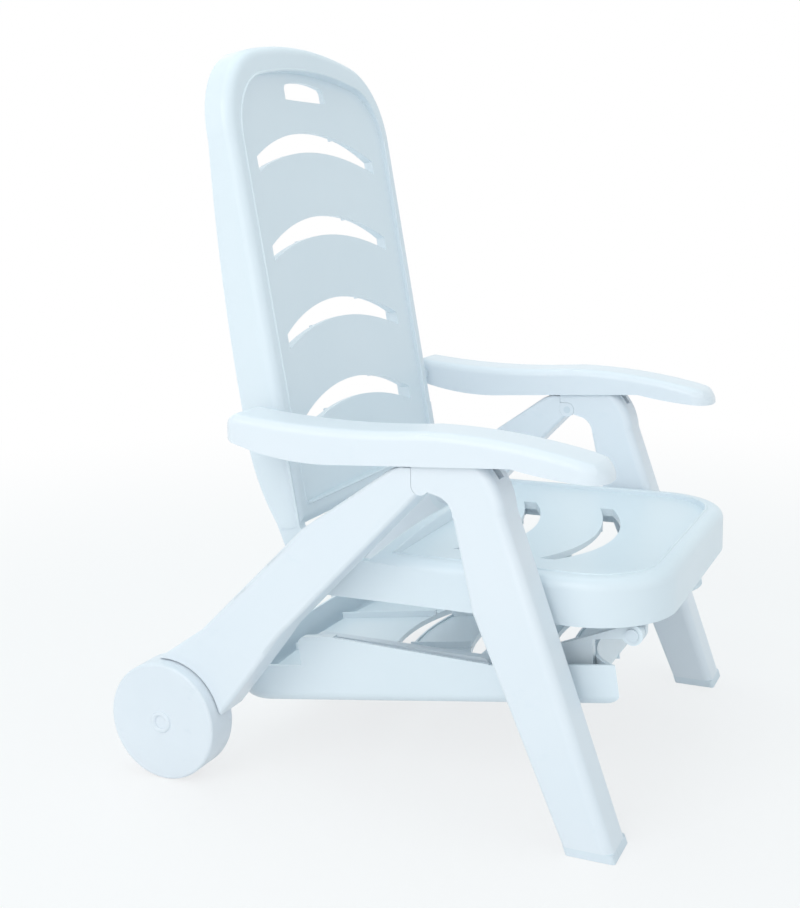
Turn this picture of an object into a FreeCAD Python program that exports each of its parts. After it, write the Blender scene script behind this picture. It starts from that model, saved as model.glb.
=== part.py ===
import FreeCAD, Part
import math
import os
from types import SimpleNamespace

import Sketcher

# Frame: +X is the way the sitter faces, +Y is the sitter's left, +Z is up.
# The origin is on the floor, under the middle of the overall length and width.
driving_sizes = [
    ("overall_length", 714),
    ("leg_span", 630),
    ("leg_thickness", 59),
    ("leg_wall", 4.5),
    ("shell_wall", 4.5),
    ("running_gap", 0.5),
    ("pin_clearance", 0.05),
    ("wheel_radius", 79),
    ("wheel_width", 51),
    ("wheel_proud", 18),
    ("fender_gap", 2),
    ("axle_radius", 9),
    ("hinge_ahead_of_wheel", 173),
    ("hinge_z", 278),
    ("hinge_pin_radius", 8),
    ("back_tilt", 9.4),
    ("back_length", 703),
    ("back_inset", 10),
    ("back_foot", 57),
    ("back_corner", 116),
    ("back_crown_lean", 11),
    ("back_depth", 57.5),
    ("back_top_depth", 38),
    ("back_rim", 27),
    ("back_rim_top", 9),
    ("back_slot_margin", 64),
    ("back_slot_first", 534),
    ("seat_top", 310),
    ("seat_depth", 58),
    ("seat_leg_gap", 10),
    ("seat_rear_gap", 92),
    ("seat_corner", 105),
    ("seat_rim", 26),
    ("seat_slot_margin", 106),
    ("seat_slot_setback", 168),
    ("rim_round", 14),
    ("dish_edge", 3.5),
    ("dish_sag", 12),
    ("slot_pitch", 119),
    ("slot_rise", 49),
    ("slot_thickness", 28),
    ("slot_tip", 10),
    ("slot_collar", 3),
    ("slot_collar_depth", 22),
    ("rib_thickness", 3),
    ("rib_depth", 28),
    ("leg_rest_setback", 38),
    ("leg_rest_z", 238),
    ("leg_rest_turn", 171.7),
    ("leg_rest_reach", 572),
    ("leg_rest_inset", 7),
    ("leg_rest_corner", 70),
    ("leg_rest_depth", 51),
    ("leg_rest_step", 6),
    ("leg_rest_gap", 24),
    ("leg_rest_pin_radius", 7),
    ("leg_rest_slot_margin", 94),
    ("leg_rest_slot_first", 112),
    ("prop_setback", 154),
    ("prop_pin_radius", 6),
    ("arm_width", 72),
    ("arm_wall", 4),
    ("arm_top_z", 497),
    ("arm_setback", 42),
    ("arm_pivot_behind_hinge", 50),
    ("arm_pivot_drop", 27),
    ("arm_pin_radius", 6),
    ("stop_pin_behind_foot", 191.5),
    ("stop_pin_drop", 41),
    ("knuckle_behind_foot", 238),
    ("knuckle_drop", 74),
    ("knuckle_radius", 11),
    ("foot_setback", 28),
    ("foot_width", 60),
    ("foot_cap", 10),
    ("leg_rake", 18.8),
]


class Size:
    """A number together with the spreadsheet expression that gives it."""

    def __init__(self, value, text):
        self.value = value
        self.text = text

    def __add__(self, other):
        other = as_size(other)
        return Size(self.value + other.value, f"({self.text} + {other.text})")

    def __radd__(self, other):
        return as_size(other) + self

    def __sub__(self, other):
        other = as_size(other)
        return Size(self.value - other.value, f"({self.text} - {other.text})")

    def __rsub__(self, other):
        return as_size(other) - self

    def __mul__(self, other):
        other = as_size(other)
        return Size(self.value * other.value, f"({self.text} * {other.text})")

    def __rmul__(self, other):
        return as_size(other) * self

    def __truediv__(self, other):
        other = as_size(other)
        return Size(self.value / other.value, f"({self.text} / {other.text})")

    def __neg__(self):
        return 0 - self


def as_size(number):
    if isinstance(number, Size):
        return number
    return Size(float(number), f"({float(number)})")


def cosine(angle):
    angle = as_size(angle)
    return Size(math.cos(math.radians(angle.value)), f"cos({angle.text} * 1 deg)")


def root(size):
    return Size(math.sqrt(size.value), f"sqrt({size.text})")


def sine(angle):
    angle = as_size(angle)
    return Size(math.sin(math.radians(angle.value)), f"sin({angle.text} * 1 deg)")


doc = FreeCAD.newDocument("sun_lounger")
sheet = doc.addObject("Spreadsheet::Sheet", "dims")
for row, (name, value) in enumerate(driving_sizes, start=1):
    sheet.set(f"A{row}", name)
    sheet.set(f"B{row}", str(value))
    sheet.setAlias(f"B{row}", name)
doc.recompute()
d = SimpleNamespace(**{name: Size(float(value), f"dims.{name}") for name, value in driving_sizes})

nodes = []
sides = {"right": -1, "left": 1}


def bind(thing, prop, size):
    thing.setExpression(prop, as_size(size).text)


def arc(through_u, through_v, end_u, end_v):
    return ("arc", (through_u, through_v), (end_u, end_v))


def corner(centre_u, centre_v, radius, start, end):
    """An arc round a known centre, from one angle in degrees to another."""
    middle = (start + end) / 2
    through_u = centre_u + radius * cosine(middle)
    through_v = centre_v + radius * sine(middle)
    end_u = centre_u + radius * cosine(end)
    end_v = centre_v + radius * sine(end)
    return arc(through_u, through_v, end_u, end_v)


def polar(centre_u, centre_v, radius, angle):
    return (centre_u + radius * cosine(angle), centre_v + radius * sine(angle))


def vector(point):
    return FreeCAD.Vector(as_size(point[0]).value, as_size(point[1]).value, 0)


class Drawing:
    """Fills one sketch with closed paths whose points are bound to sizes."""

    def __init__(self, body, name, role, offset):
        self.sketch = body.newObject("Sketcher::SketchObject", name)
        plane = [p for p in body.Origin.OriginFeatures if p.Role == role][0]
        self.sketch.AttachmentSupport = [(plane, "")]
        self.sketch.MapMode = "FlatFace"
        offset = as_size(offset)
        self.sketch.AttachmentOffset = FreeCAD.Placement(
            FreeCAD.Vector(0, 0, offset.value), FreeCAD.Rotation())
        bind(self.sketch, "AttachmentOffset.Base.z", offset)

    def fix(self, geometry, vertex, point):
        for kind, size in zip(("DistanceX", "DistanceY"), point):
            size = as_size(size)
            index = self.sketch.addConstraint(
                Sketcher.Constraint(kind, -1, 1, geometry, vertex, size.value))
            bind(self.sketch, f"Constraints[{index}]", size)

    def segment(self, start, item):
        if item[0] != "arc":
            line = Part.LineSegment(vector(start), vector(item))
            index = self.sketch.addGeometry(line, False)
            return index, 1, 2, item
        through, end = item[1], item[2]
        a, b, c = vector(start), vector(through), vector(end)
        index = self.sketch.addGeometry(Part.Arc(a, b, c), False)
        mark = self.sketch.addGeometry(Part.Point(b), True)
        self.fix(mark, 1, through)
        self.sketch.addConstraint(Sketcher.Constraint("PointOnObject", mark, 1, index))
        anticlockwise = (b - a).cross(c - a).z > 0
        first, last = (1, 2) if anticlockwise else (2, 1)
        return index, first, last, end

    def path(self, items):
        start = items[0]
        pieces = []
        here = start
        for item in items[1:]:
            index, first, last, there = self.segment(here, item)
            pieces.append((index, first, last, here))
            here = there
        if (vector(here) - vector(start)).Length > 1e-6:
            index, first, last, there = self.segment(here, start)
            pieces.append((index, first, last, here))
        for number, (index, first, last, begin) in enumerate(pieces):
            following = (number + 1) % len(pieces)
            self.sketch.addConstraint(
                Sketcher.Constraint("Coincident", index, last, *pieces[following][:2]))
            self.fix(index, first, begin)

    def circle(self, u, v, radius):
        centre = vector((u, v))
        radius = as_size(radius)
        shape = Part.Circle(centre, FreeCAD.Vector(0, 0, 1), radius.value)
        index = self.sketch.addGeometry(shape, False)
        self.fix(index, 3, (u, v))
        constraint = self.sketch.addConstraint(Sketcher.Constraint("Radius", index, radius.value))
        bind(self.sketch, f"Constraints[{constraint}]", radius)


def new_body(label):
    body = doc.addObject("PartDesign::Body", label)
    body.Label = label
    return body


def extrude(body, kind, name, role, low, high, loops):
    """Pads or pockets closed loops between two distances along a plane's normal."""
    drawing = Drawing(body, f"{name}_sketch", role, low)
    for loop in loops:
        if loop[0] == "circle":
            drawing.circle(*loop[1:])
        else:
            drawing.path(loop)
    feature = body.newObject(f"PartDesign::{kind}", name)
    feature.Profile = drawing.sketch
    length = as_size(high) - low
    feature.Length = length.value
    bind(feature, "Length", length)
    feature.Reversed = kind == "Pocket"
    drawing.sketch.Visibility = False
    doc.recompute()
    return feature


def side_range(side, inner, outer):
    """Distances along the XZ plane's normal, which points to the right (-Y)."""
    if side < 0:
        return as_size(inner), as_size(outer)
    return -as_size(outer), -as_size(inner)


def pad(body, name, side, inner, outer, *loops):
    low, high = side_range(side, inner, outer)
    return extrude(body, "Pad", name, "XZ_Plane", low, high, loops)


def cut(body, name, side, inner, outer, *loops):
    low, high = side_range(side, inner, outer)
    return extrude(body, "Pocket", name, "XZ_Plane", low, high, loops)


def fillet(body, name, radius, chosen):
    """Rounds the edges of the body's tip for which chosen(edge) holds."""
    base = body.Tip
    names = [f"Edge{i}" for i, e in enumerate(base.Shape.Edges, start=1) if chosen(e)]
    feature = body.newObject("PartDesign::Fillet", name)
    feature.Base = (base, names)
    radius = as_size(radius)
    feature.Radius = radius.value
    bind(feature, "Radius", radius)
    doc.recompute()
    return feature


def combine(body, name, kind, tool):
    feature = body.newObject("PartDesign::Boolean", name)
    feature.Type = kind
    feature.setObjects([tool])
    doc.recompute()
    return feature


def place(body, x, z, turn=0):
    body.Placement = FreeCAD.Placement(
        FreeCAD.Vector(0, 0, 0), FreeCAD.Rotation(FreeCAD.Vector(0, 1, 0), as_size(turn).value))
    bind(body, "Placement.Base.x", x)
    bind(body, "Placement.Base.z", z)
    bind(body, "Placement.Rotation.Angle", turn)
    doc.recompute()


def flat_at(height):
    """Picks edges that lie wholly in one level plane."""
    def chosen(edge):
        box = edge.BoundBox
        return abs(box.ZMin - height.value) < 0.01 and abs(box.ZMax - height.value) < 0.01
    return chosen


def across(body_side, wanted):
    """Picks edges that lie in one upright lengthwise plane, in a range of the profile."""
    def chosen(edge):
        box = edge.BoundBox
        return any(abs(box.YMin - y) < 0.01 and abs(box.YMax - y) < 0.01 for y in body_side) and wanted(box)
    return chosen


zero = as_size(0)
leg_outer = d.leg_span / 2
leg_inner = leg_outer - d.leg_thickness
leg_middle = leg_outer - d.leg_thickness / 2
seat_half = leg_inner - d.seat_leg_gap
back_half = seat_half - d.back_inset
rest_half = seat_half - d.leg_rest_inset
wheel_x = d.wheel_radius - d.overall_length / 2
wheel_z = d.wheel_radius
wheel_outer = leg_outer + d.wheel_proud
wheel_inner = wheel_outer - d.wheel_width
hinge_x = wheel_x + d.hinge_ahead_of_wheel
seat_front = d.overall_length / 2
seat_rear_x = hinge_x + d.seat_rear_gap
seat_bottom = d.seat_top - d.seat_depth
leg_rest_x = seat_front - d.leg_rest_setback
foot_x = seat_front - d.foot_setback
arm_front_x = seat_front - d.arm_setback
arm_pivot_x = hinge_x - d.arm_pivot_behind_hinge
arm_pivot_z = d.arm_top_z - d.arm_pivot_drop
stop_pin_x = foot_x - d.stop_pin_behind_foot
stop_pin_z = d.arm_top_z - d.stop_pin_drop
knuckle_x = foot_x - d.knuckle_behind_foot
knuckle_z = d.arm_top_z - d.knuckle_drop


def recess_tool(label, outline, top, grow, crosswise, rim):
    """The hollow above a dished panel: rim outline above, a shallow trough below."""
    body = new_body(label)
    low = top - d.dish_edge - d.dish_sag - grow - 20
    extrude(body, "Pad", f"{label}_block", "XY_Plane", low, top + 5, [outline(rim - grow)])
    edge = top - d.dish_edge - grow
    deep = edge - d.dish_sag
    half = crosswise - rim + 12
    trough = [(-half, low - 5), (half, low - 5), (half, edge), arc(zero, deep, -half, edge)]
    drawing = Drawing(body, f"{label}_trough_sketch", "YZ_Plane", -2000)
    drawing.path(trough)
    floor = body.newObject("PartDesign::Pocket", f"{label}_trough")
    floor.Profile = drawing.sketch
    floor.Length = 4000
    floor.Reversed = True
    doc.recompute()
    return body


def crescent(along, bulge, half, grow):
    """A slot bowed towards bulge (+1 or -1), with blunt tips."""
    half = half + grow
    tip = d.slot_tip + grow
    outer = along + bulge * (d.slot_rise + grow)
    inner = along + bulge * (d.slot_rise - d.slot_thickness - grow)
    return [
        (along + bulge * tip, -half),
        arc(outer, zero, along + bulge * tip, half),
        (along - bulge * tip, half),
        arc(inner, zero, along - bulge * tip, -half),
    ]


def long_ribs(low, high, beside):
    """Two lengthwise ribs, one each side of the middle."""
    half = d.rib_thickness / 2
    return [[(low, y - half), (high, y - half), (high, y + half), (low, y + half)]
            for y in (as_size(-beside), as_size(beside))]


def dished_shell(label, outline, dish_outline, top, depth, crosswise, rim, slots, ribs, trim, extras):
    """A moulded panel: rounded rim, recessed trough, thin walls, ribs and collared slots."""
    body = new_body(label)
    extrude(body, "Pad", f"{label}_block", "XY_Plane", top - depth, top, [outline(zero)])
    if trim:
        extrude(body, "Pocket", f"{label}_trim", "XZ_Plane", -crosswise - 5, crosswise + 5, [trim])
    fillet(body, f"{label}_rim_round", d.rim_round, flat_at(top))
    cavity = new_body(f"{label}_cavity")
    extrude(cavity, "Pad", f"{label}_cavity_block", "XY_Plane",
            top - depth - 5, top - d.shell_wall, [outline(d.shell_wall)])
    fillet(cavity, f"{label}_cavity_round", d.rim_round - d.shell_wall, flat_at(top - d.shell_wall))
    combine(cavity, f"{label}_cavity_floor", "Cut",
            recess_tool(f"{label}_under_panel", dish_outline, top, d.shell_wall, crosswise, rim))
    combine(body, f"{label}_hollow", "Cut", cavity)
    collars = [crescent(along, bulge, half, d.slot_collar) for along, bulge, half in slots]
    extrude(body, "Pad", f"{label}_collars", "XY_Plane", top - d.slot_collar_depth, top - 3, collars)
    extrude(body, "Pad", f"{label}_ribs", "XY_Plane", top - d.rib_depth, top - 3, ribs)
    extras(body)
    combine(body, f"{label}_dish", "Cut",
            recess_tool(f"{label}_recess", dish_outline, top, zero, crosswise, rim))
    openings = [crescent(along, bulge, half, zero) for along, bulge, half in slots]
    extrude(body, "Pocket", f"{label}_slots", "XY_Plane", top - depth - 5, top + 5, openings)
    return body


def finish(body):
    nodes.append(body)


back_top = -d.back_length
back_foot = -d.back_foot
back_slots = [(d.slot_pitch * n - d.back_slot_first, -1, back_half - d.back_slot_margin) for n in range(4)]
ear_inner = back_half - 17
ear_outer = back_half - d.shell_wall / 2
arm_from_hinge_x = arm_pivot_x - hinge_x
arm_from_hinge_z = arm_pivot_z - d.hinge_z
arm_pivot_along = arm_from_hinge_x * sine(d.back_tilt) - arm_from_hinge_z * cosine(d.back_tilt)
arm_pivot_out = arm_from_hinge_x * cosine(d.back_tilt) + arm_from_hinge_z * sine(d.back_tilt)
arm_outer = leg_outer + 7
arm_inner = arm_outer - d.arm_width


def back_outline(inset, lowered=zero):
    half = back_half - inset
    radius = d.back_corner - inset
    lean = d.back_crown_lean
    hub_y = back_half - d.back_corner
    crown_half = hub_y + d.back_corner * sine(lean)
    crown_rise = crown_half * (1 - cosine(lean)) / sine(lean)
    hub_x = back_top + lowered + crown_rise + d.back_corner * cosine(lean)
    bottom = back_foot - inset
    return [
        (bottom, -half),
        (bottom, half),
        (hub_x, half),
        corner(hub_x, hub_y, radius, 90, 180 - lean),
        arc(back_top + lowered + inset, zero, *polar(hub_x, -hub_y, radius, 180 + lean)),
        corner(hub_x, -hub_y, radius, 180 + lean, 270),
    ]


def back_dish_outline(inset):
    return back_outline(inset, d.back_rim_top)


back_trim = [
    (back_top - 5, -d.back_top_depth),
    (back_top + 137, -d.back_top_depth),
    arc(back_foot - 283, 2 - d.back_depth, back_foot - 143, -d.back_depth),
    arc(back_foot - 53, 8 - d.back_depth, back_foot + 5, -30),
    (back_foot + 5, -d.back_depth - 20),
    (back_top - 5, -d.back_depth - 20),
]
handle_x = back_top + 62
handle_half = 57
handle_corner = 9


def handle(grow):
    low = handle_x + 13 + grow
    half = handle_half + grow
    radius = as_size(handle_corner + grow)
    hub_x = handle_x
    hub_y = as_size(handle_half - handle_corner)
    return [
        (low, -half),
        (low, half),
        (hub_x, half),
        corner(hub_x, hub_y, radius, 90, 165),
        arc(handle_x - 14 - grow, zero, *polar(hub_x, -hub_y, radius, 195)),
        corner(hub_x, -hub_y, radius, 195, 270),
    ]


def back_fittings(body):
    extrude(body, "Pad", "handle_collar", "XY_Plane", -d.slot_collar_depth, as_size(-3), [handle(d.slot_collar)])
    ear = [
        (back_foot - 95, as_size(-3)),
        (back_foot, as_size(-3)),
        polar(zero, zero, as_size(26), 110),
        corner(zero, zero, as_size(26), 110, -110),
        (back_foot - 13, as_size(-38)),
        (back_foot - 95, as_size(-46)),
    ]
    for name, side in sides.items():
        pad(body, f"back_ear_{name}", side, ear_inner, ear_outer, ear)
        pad(body, f"arm_boss_{name}", side, ear_inner, ear_outer,
            ("circle", arm_pivot_along, arm_pivot_out, as_size(13)))


backrest = dished_shell("backrest_shell", back_outline, back_dish_outline, zero, d.back_depth, back_half, d.back_rim,
                        back_slots, long_ribs(back_top + 20, back_foot - 20, 75), back_trim, back_fittings)
extrude(backrest, "Pocket", "handle_hole", "XY_Plane", as_size(-80), as_size(20), [handle(zero)])
for name, side in sides.items():
    cut(backrest, f"back_pivot_bore_{name}", side, ear_inner - 1, back_half + 1,
        ("circle", zero, zero, d.hinge_pin_radius + d.pin_clearance))
    cut(backrest, f"arm_pin_bore_{name}", side, ear_inner - 1, back_half + 1,
        ("circle", arm_pivot_along, arm_pivot_out, d.arm_pin_radius))
place(backrest, hinge_x, d.hinge_z, 90 - d.back_tilt)
finish(backrest)

seat_ear_radius = 27
seat_ear_inner = seat_half - 12
bracket_outer = rest_half - 42
bracket_inner = bracket_outer - 12
lug_inner = bracket_outer + 2
lug_outer = lug_inner + 12


def seat_outline(inset):
    half = seat_half - inset
    radius = d.seat_corner - inset
    hub_x = seat_front - d.seat_corner
    hub_y = seat_half - d.seat_corner
    rear = seat_rear_x + inset
    return [
        (rear, -half),
        (hub_x, -half),
        corner(hub_x, -hub_y, radius, 270, 360),
        (hub_x + radius, hub_y),
        corner(hub_x, hub_y, radius, 0, 90),
        (rear, half),
        arc(rear - 18, zero, rear, -half),
    ]


def seat_fittings(body):
    ear = [
        (seat_rear_x + 42, d.seat_top - 9),
        polar(hinge_x, d.hinge_z, as_size(seat_ear_radius), 85),
        corner(hinge_x, d.hinge_z, as_size(seat_ear_radius), 85, 275),
        (seat_rear_x + 42, seat_bottom),
    ]
    eye = d.leg_rest_pin_radius + 6
    bracket = [
        (leg_rest_x - eye, d.seat_top - 3),
        (leg_rest_x - eye, d.leg_rest_z),
        corner(leg_rest_x, d.leg_rest_z, eye, 180, 360),
        (leg_rest_x + eye, d.seat_top - 3),
    ]
    for name, side in sides.items():
        pad(body, f"seat_ear_{name}", side, seat_ear_inner, seat_half, ear)
        pad(body, f"leg_rest_bracket_{name}", side, bracket_inner, bracket_outer, bracket)


seat_slots = [(seat_front - d.seat_slot_setback - d.slot_pitch * n, 1, seat_half - d.seat_slot_margin)
              for n in range(2)]
seat = dished_shell("seat_shell", seat_outline, seat_outline, d.seat_top, d.seat_depth, seat_half, d.seat_rim,
                    seat_slots, long_ribs(seat_rear_x + 10, seat_front - 20, 75), None, seat_fittings)
for name, side in sides.items():
    cut(seat, f"seat_pivot_bore_{name}", side, seat_ear_inner - 1, seat_half + 1,
        ("circle", hinge_x, d.hinge_z, d.hinge_pin_radius))
    cut(seat, f"leg_rest_pin_bore_{name}", side, bracket_inner - 1, bracket_outer + 1,
        ("circle", leg_rest_x, d.leg_rest_z, d.leg_rest_pin_radius))
finish(seat)

rest_top = d.seat_top - d.leg_rest_z + d.leg_rest_step
rest_bottom = rest_top - d.leg_rest_depth
prop_along = d.leg_rest_reach - d.prop_setback
prop_eye = d.prop_pin_radius + 5
prop_inner = rest_half - 26
prop_outer = rest_half - 14
rest_ear_inner = rest_half - 12


def rest_outline(inset):
    half = rest_half - inset
    nest = d.seat_corner + d.leg_rest_gap + inset
    nest_x = seat_front - d.seat_corner - leg_rest_x
    nest_y = seat_half - d.seat_corner
    side_x = nest_x + root(nest * nest - (half - nest_y) * (half - nest_y))
    radius = d.leg_rest_corner - inset
    hub_x = d.leg_rest_reach - d.leg_rest_corner
    hub_y = rest_half - d.leg_rest_corner
    return [
        (side_x, -half),
        (hub_x, -half),
        corner(hub_x, -hub_y, radius, 270, 360),
        (hub_x + radius, hub_y),
        corner(hub_x, hub_y, radius, 0, 90),
        (side_x, half),
        arc(*polar(nest_x, nest_y, nest, 22), nest_x + nest, nest_y),
        (nest_x + nest, -nest_y),
        arc(*polar(nest_x, -nest_y, nest, -22), side_x, -half),
    ]


def rest_fittings(body):
    eye = d.leg_rest_pin_radius + 6
    lug = [
        polar(zero, zero, eye, 20),
        (as_size(50), eye * sine(20)),
        (as_size(57), rest_top - 3),
        (as_size(165), rest_top - 3),
        (as_size(165), rest_bottom + 2),
        polar(zero, zero, eye, -75),
        corner(zero, zero, eye, -75, -340),
    ]
    ear = [
        (prop_along - 27, rest_bottom + 10),
        (prop_along - 27, -prop_eye),
        (prop_along + 18, -prop_eye),
        corner(prop_along + 18, 9 - prop_eye, as_size(9), 270, 360),
        (prop_along + 27, rest_bottom + 10),
    ]
    fin = [
        (prop_along - 240, rest_bottom + 10),
        (prop_along - 240, rest_bottom - 1),
        (prop_along - 20, -prop_eye),
        (prop_along - 20, rest_bottom + 10),
    ]
    for name, side in sides.items():
        pad(body, f"leg_rest_lug_{name}", side, lug_inner, lug_outer, lug)
        pad(body, f"prop_ear_{name}", side, rest_ear_inner, rest_half, ear)
        pad(body, f"prop_fin_{name}", side, rest_half - d.shell_wall, rest_half, fin)


rest_slots = [(d.leg_rest_slot_first + d.slot_pitch * n, 1, rest_half - d.leg_rest_slot_margin)
              for n in range(3)]
leg_rest = dished_shell("leg_rest_shell", rest_outline, rest_outline, rest_top, d.leg_rest_depth, rest_half, d.seat_rim,
                        rest_slots, long_ribs(as_size(62), d.leg_rest_reach - 20, 75), None, rest_fittings)
for name, side in sides.items():
    cut(leg_rest, f"leg_rest_eye_{name}", side, lug_inner - 1, lug_outer + 1,
        ("circle", zero, zero, d.leg_rest_pin_radius + d.pin_clearance))
    cut(leg_rest, f"prop_ear_bore_{name}", side, rest_ear_inner - 1, rest_half - 3,
        ("circle", prop_along, zero, d.prop_pin_radius))
place(leg_rest, leg_rest_x, d.leg_rest_z, d.leg_rest_turn)
finish(leg_rest)

fender_radius = d.wheel_radius + d.fender_gap
lap = d.knuckle_radius + d.running_gap
seam_x = knuckle_x - d.knuckle_radius
rack_half = 5.5
fork_half = 8
rack_crest = stop_pin_z + d.arm_pin_radius + 0.5


def front_x(height):
    """The front edge of the front leg at a height above the floor."""
    return foot_x - height * sine(d.leg_rake) / cosine(d.leg_rake)


def near(x, z):
    """Points given from the main hinge, the wheel and the leg knuckle."""
    return SimpleNamespace(
        hinge=(hinge_x + x, d.hinge_z + z),
        wheel=(wheel_x + x, wheel_z + z),
        knuckle=(knuckle_x + x, knuckle_z + z))


shoulder_z = stop_pin_z - 60
cavity_top = stop_pin_z - 54
neck_z = knuckle_z - 38
knee_z = d.hinge_z - 1
front_leg_outline = [
    (front_x(d.foot_cap), d.foot_cap),
    (front_x(shoulder_z), shoulder_z),
    arc(front_x(shoulder_z) - 12, stop_pin_z - 22, front_x(shoulder_z) - 36, stop_pin_z + 4),
    (stop_pin_x - 16, stop_pin_z + 10),
    (seam_x, stop_pin_z - 8),
    (seam_x, knuckle_z),
    corner(knuckle_x, knuckle_z, d.knuckle_radius, 180, 325),
    near(21, -9.5).knuckle,
    arc(*near(36, -19).knuckle, front_x(neck_z) - 66, neck_z),
    (front_x(knee_z) - 80, knee_z),
    (front_x(d.foot_cap) - d.foot_width, d.foot_cap),
]
inset_x = d.leg_wall * 1.25
front_leg_cavity = [
    (front_x(zero) - inset_x, zero),
    (front_x(cavity_top) - inset_x, cavity_top),
    (front_x(neck_z) - 56, neck_z + 12),
    (front_x(neck_z) - 66 + inset_x, neck_z - 8),
    (front_x(knee_z) - 80 + inset_x, knee_z),
    (front_x(zero) - d.foot_width + inset_x, zero),
]
rear_leg_outline = [
    (seam_x - d.running_gap, stop_pin_z - 12),
    (seam_x - d.running_gap, knuckle_z),
    corner(knuckle_x, knuckle_z, lap, 180, 255),
    near(1.5, -62).hinge,
    arc(*near(135.5, 85).wheel, *polar(wheel_x, wheel_z, fender_radius, 10)),
    corner(wheel_x, wheel_z, fender_radius, 10, 100),
    near(54.5, 127).wheel,
    arc(*near(-39.5, 5).hinge, *near(34.5, 77).hinge),
    near(-40.5, 16).knuckle,
    (knuckle_x - 24, stop_pin_z - 12),
]
rear_leg_cavity = [
    near(-70, -68).knuckle,
    near(-3, -57).hinge,
    near(130, 89).wheel,
    near(98, 44).wheel,
    polar(wheel_x, wheel_z, fender_radius - 5, 14),
    corner(wheel_x, wheel_z, fender_radius - 5, 14, 96),
    near(57, 121.5).wheel,
    arc(*near(-35.5, 0.5).hinge, *near(38.5, 72.5).hinge),
    near(-106, -38).knuckle,
]
knuckle_lap = [
    (knuckle_x - 20, knuckle_z + lap),
    (knuckle_x, knuckle_z + lap),
    corner(knuckle_x, knuckle_z, lap, 90, -90),
    (knuckle_x - 20, knuckle_z - lap),
]
knuckle_disc = [
    (seam_x - 8, knuckle_z + d.knuckle_radius),
    (knuckle_x, knuckle_z + d.knuckle_radius),
    corner(knuckle_x, knuckle_z, d.knuckle_radius, 90, -115),
    (seam_x - 8, knuckle_z - 12),
]
axle_cheek = [
    polar(wheel_x, wheel_z, fender_radius + 5, 75),
    polar(wheel_x, wheel_z, as_size(32), 135),
    corner(wheel_x, wheel_z, as_size(32), 135, 315),
    polar(wheel_x, wheel_z, fender_radius + 5, 25),
]
knuckle_pin = ("circle", knuckle_x, knuckle_z, as_size(5.5))
knuckle_pin_free = ("circle", knuckle_x, knuckle_z, 5.5 + d.pin_clearance)
stop_pin = ("circle", stop_pin_x, stop_pin_z, d.arm_pin_radius)
main_pin = ("circle", hinge_x, d.hinge_z, d.hinge_pin_radius)
main_pin_free = ("circle", hinge_x, d.hinge_z, d.hinge_pin_radius + d.pin_clearance)
support_z = seat_bottom - 14 - d.running_gap / 2
support = ("circle", front_x(support_z) - 45, support_z, as_size(14))


def faces_of_leg(wanted):
    return across([s * y.value for s in (-1, 1) for y in (leg_inner, leg_outer)], wanted)


def box_path(left, bottom, right, top):
    return [(left, bottom), (right, bottom), (right, top), (left, top)]


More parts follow.
